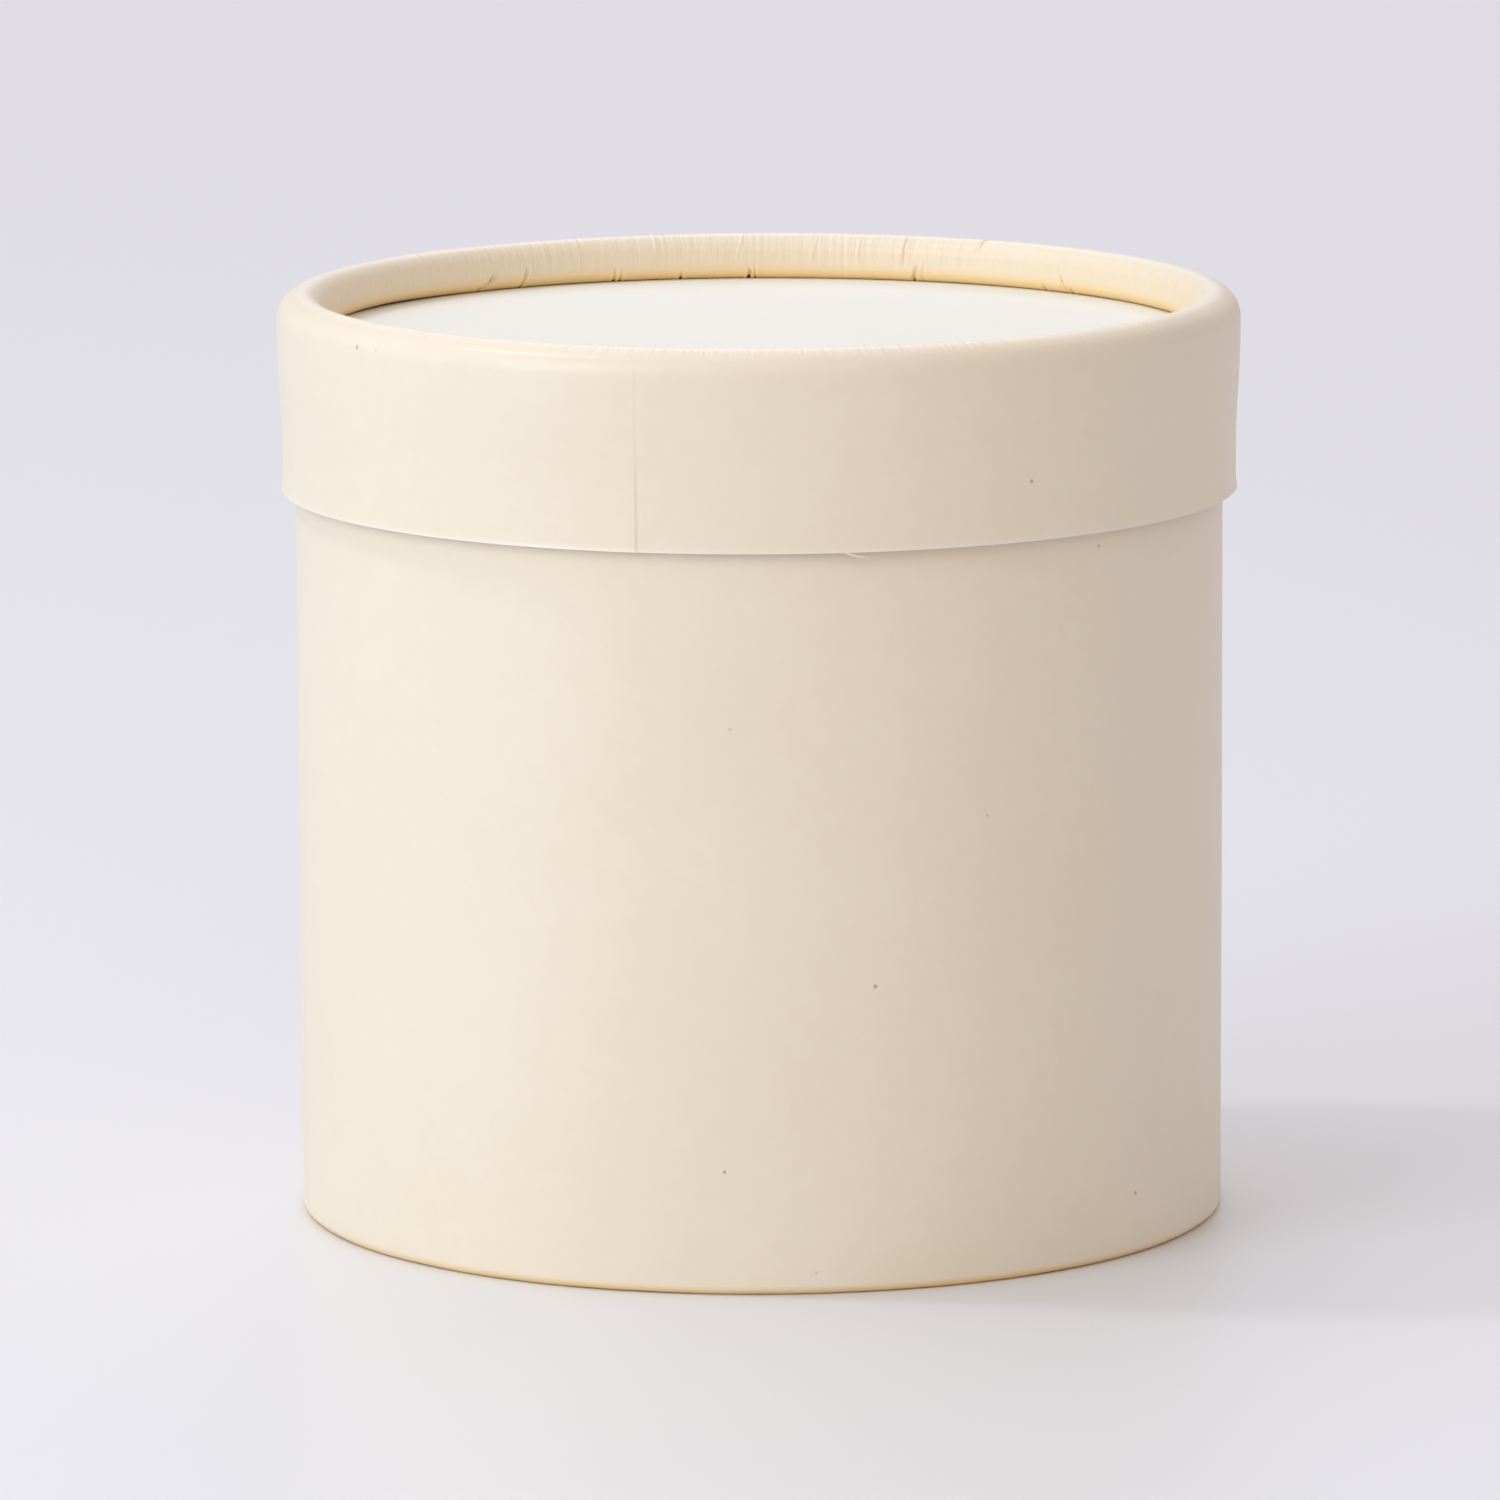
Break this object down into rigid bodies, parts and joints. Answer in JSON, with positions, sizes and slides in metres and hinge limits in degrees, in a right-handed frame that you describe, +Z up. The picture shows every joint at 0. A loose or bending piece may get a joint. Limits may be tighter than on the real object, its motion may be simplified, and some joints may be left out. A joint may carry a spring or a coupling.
{
  "type": "hat box",
  "caption": "Round straight-sided paper box with rolled edges and a shallow lift-off lid that telescopes over the wall.",
  "frame": {"origin": "centre of the circle that the box stands on", "axes": "+Z up along the box's axis; X and Y are equivalent because the box is round"},
  "size_m": [0.1556, 0.1556, 0.15],
  "materials": {
    "cream_cover_paper": "matte uncoated cream paper",
    "cream_panel_paper": "matte uncoated pale cream paper",
    "lining_paper": "matte uncoated off-white paper",
    "tube_board": "raw grey-tan tube board",
    "panel_board": "raw grey board"
  },
  "bodies": {
    "box": {"body_cover_paper": "cream_cover_paper", "body_outer_tube": "tube_board", "body_inner_tube": "tube_board", "body_liner_paper": "lining_paper", "base_disc": "panel_board", "base_facing_paper": "cream_cover_paper", "base_lining_paper": "lining_paper"},
    "lid": {"lid_cover_paper": "cream_cover_paper", "lid_outer_tube": "tube_board", "lid_inner_tube": "tube_board", "lid_liner_paper": "lining_paper", "lid_disc": "panel_board", "lid_facing_paper": "cream_panel_paper", "lid_lining_paper": "lining_paper"}
  },
  "joints": [
    {"name": "lid_lift", "type": "slide", "parent": "box", "child": "lid", "axis": [0, 0, 1], "range_m": [0, 0.15]}
  ]
}
